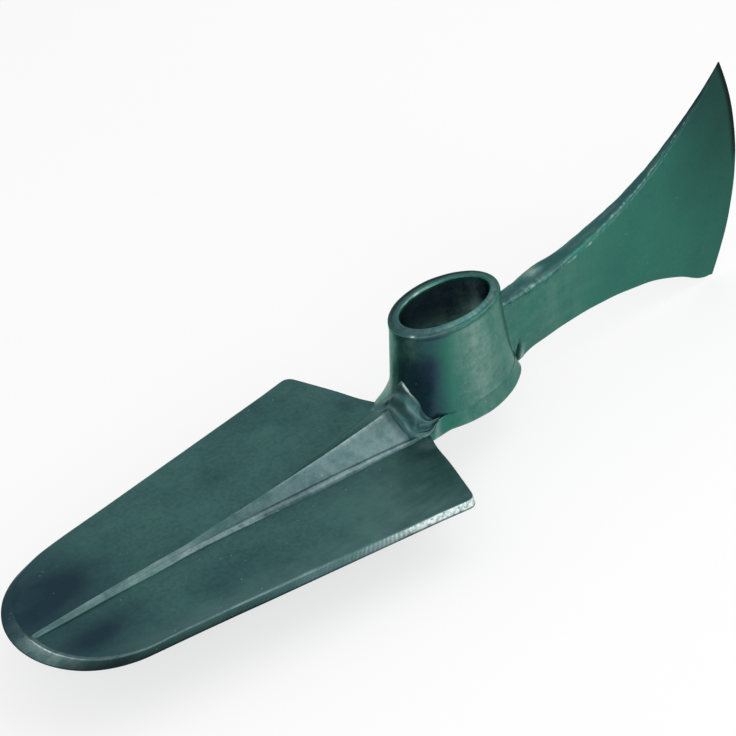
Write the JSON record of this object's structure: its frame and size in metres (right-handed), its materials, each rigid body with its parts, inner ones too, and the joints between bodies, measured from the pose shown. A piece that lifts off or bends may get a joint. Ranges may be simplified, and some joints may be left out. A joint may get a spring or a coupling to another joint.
{
  "type": "mattock head",
  "caption": "Planting mattock head with a flat ribbed spade blade on one side and a fan-shaped axe blade on the other, joined by an oval handle socket.",
  "frame": {"origin": "where the socket's axis meets the flat underside of the collar", "axes": "+Z along the socket's axis towards the user's end of the handle, +X towards the axe blade, -X towards the spade tip, Y across the head, which is symmetric about Y = 0"},
  "size_m": [0.4366, 0.133, 0.1188],
  "materials": {
    "green_paint": "dark green enamel on forged steel, satin gloss, worn light at the edges",
    "blue_green_paint": "the same enamel, greyer on the spade, satin gloss with specks and scuffs"
  },
  "bodies": {
    "root": {"eye_socket": "green_paint", "socket_collar": "green_paint", "socket_weld": "blue_green_paint", "neck_web": "blue_green_paint", "mid_rib": "blue_green_paint", "spade_blade": "blue_green_paint", "axe_blade": "green_paint"}
  },
  "joints": []
}
